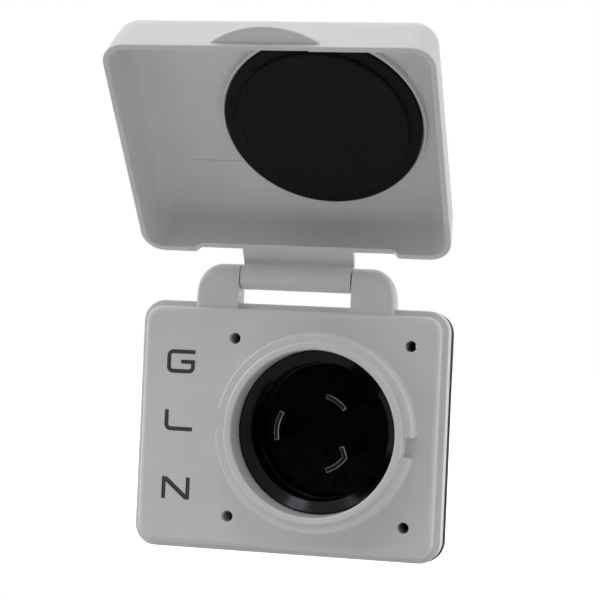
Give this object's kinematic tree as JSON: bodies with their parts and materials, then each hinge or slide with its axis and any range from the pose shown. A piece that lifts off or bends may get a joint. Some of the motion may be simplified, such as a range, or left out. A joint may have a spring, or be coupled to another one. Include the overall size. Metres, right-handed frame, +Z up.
{
  "type": "generator inlet box",
  "caption": "Flush-mounted power inlet box: square-cornered white flange with hinged deep weather lid over a recessed round locking inlet with curved blades.",
  "frame": {"origin": "middle of the mounting face, on the wall plane behind the gasket", "axes": "+Z up, -Y out of the wall towards the user, +X right seen from the front"},
  "size_m": [0.1174, 0.1423, 0.1905],
  "materials": {
    "white_plastic": "satin gloss, fine moulded",
    "gasket_foam": "matt closed-cell foam",
    "seal_rubber": "matt moulded rubber",
    "black_nylon": "glossy, moulded",
    "grey_phenolic": "matt, moulded",
    "nickel_blade": "nickel-plated brass",
    "zinc_steel": "zinc-plated steel",
    "brass_screw": "plain brass",
    "silver_screw": "nickel plate",
    "green_screw": "green passivated"
  },
  "bodies": {
    "box": {"base_plate": "white_plastic", "mounting_gasket": "gasket_foam", "sealing_ring": "seal_rubber", "cable_grommet": "seal_rubber", "inlet_shell": "black_nylon", "rear_cover": "black_nylon", "cable_clamp": "black_nylon", "contact_carrier": "grey_phenolic", "terminal_block": "grey_phenolic", "blade_line": "nickel_blade", "blade_neutral": "nickel_blade", "blade_earth": "nickel_blade", "hinge_pin": "zinc_steel", "wire_clamp_line": "zinc_steel", "wire_clamp_neutral": "zinc_steel", "wire_clamp_earth": "zinc_steel", "block_screw_1": "zinc_steel", "block_screw_2": "zinc_steel", "block_screw_3": "zinc_steel", "cover_screw_1": "zinc_steel", "cover_screw_2": "zinc_steel", "cover_screw_3": "zinc_steel", "cover_screw_4": "zinc_steel", "clamp_screw_1": "zinc_steel", "clamp_screw_2": "zinc_steel", "terminal_screw_line": "brass_screw", "terminal_screw_neutral": "silver_screw", "terminal_screw_earth": "green_screw"},
    "lid": {"lid": "white_plastic", "lid_seal": "seal_rubber"}
  },
  "joints": [
    {"name": "lid_hinge", "type": "hinge", "parent": "box", "child": "lid", "pos_m": [0, -0.0085, 0.0561], "axis": [1, 0, 0], "range_deg": [-4, 136.5]}
  ]
}
